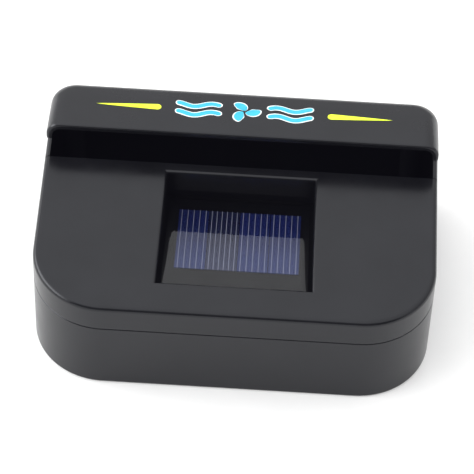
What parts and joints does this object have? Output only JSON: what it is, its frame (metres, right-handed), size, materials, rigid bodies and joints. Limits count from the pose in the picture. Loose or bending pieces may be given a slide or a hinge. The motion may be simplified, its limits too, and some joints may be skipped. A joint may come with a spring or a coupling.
{
  "type": "solar car window ventilator",
  "caption": "Black two-shell fan housing with a small solar panel let into its face and an outlet hood over a slot for window glass.",
  "frame": {"origin": "centre of the footprint, on the back face, with the part lying on its back", "axes": "+Z out of the face that rests on the glass, +Y towards the hood, which is up in use, +X across the width"},
  "size_m": [0.158, 0.109, 0.0619],
  "materials": {
    "front_cover_plastic": "fine satin texture",
    "rear_housing_plastic": "fine satin texture",
    "hood_plastic": "fine satin texture",
    "window_clear": "clear moulded acrylic",
    "cell_silicon": "blue coated silicon",
    "silver_print": "printed silver",
    "foam_tape": "black foam",
    "board_laminate": "black solder mask",
    "solder": "tin solder",
    "can_steel": "drawn zinc-plated steel",
    "cap_plastic": "ivory moulded plastic",
    "bush_bronze": "sintered bronze",
    "magnet_ferrite": "ground ferrite",
    "brush_bronze": "phosphor bronze strip",
    "terminal_brass": "tinned brass",
    "shaft_steel": "ground steel",
    "core_steel": "stacked steel sheets",
    "winding_copper": "enamelled copper wire",
    "commutator_copper": "turned copper",
    "washer_nylon": "nylon",
    "impeller_plastic": "moulded plastic",
    "bracket_plastic": "moulded plastic",
    "screw_steel": "zinc-plated steel",
    "lead_red": "PVC insulation",
    "lead_black": "PVC insulation"
  },
  "bodies": {
    "housing": {"front_cover": "front_cover_plastic", "rear_housing": "rear_housing_plastic", "hood_cap": "hood_plastic", "panel_window": "window_clear", "solar_cells": "cell_silicon", "cell_grid_lines": "silver_print", "panel_tape": "foam_tape", "panel_board": "board_laminate", "panel_solder_pads": "solder", "motor_can": "can_steel", "motor_end_cap": "cap_plastic", "motor_terminals": "terminal_brass", "motor_front_bush": "bush_bronze", "motor_rear_bush": "bush_bronze", "motor_magnets": "magnet_ferrite", "motor_brushes": "brush_bronze", "motor_bracket": "bracket_plastic", "case_screws": "screw_steel", "hood_screws": "screw_steel", "bracket_screws": "screw_steel", "motor_screws": "screw_steel", "lead_positive": "lead_red", "lead_negative": "lead_black"},
    "rotor": {"motor_shaft": "shaft_steel", "armature_core": "core_steel", "armature_windings": "winding_copper", "commutator": "commutator_copper", "shaft_washers": "washer_nylon", "impeller": "impeller_plastic"}
  },
  "joints": [
    {"name": "fan_spin", "type": "hinge", "parent": "housing", "child": "rotor", "pos_m": [0, -0.012, 0], "axis": [0, 0, 1], "continuous": true}
  ]
}
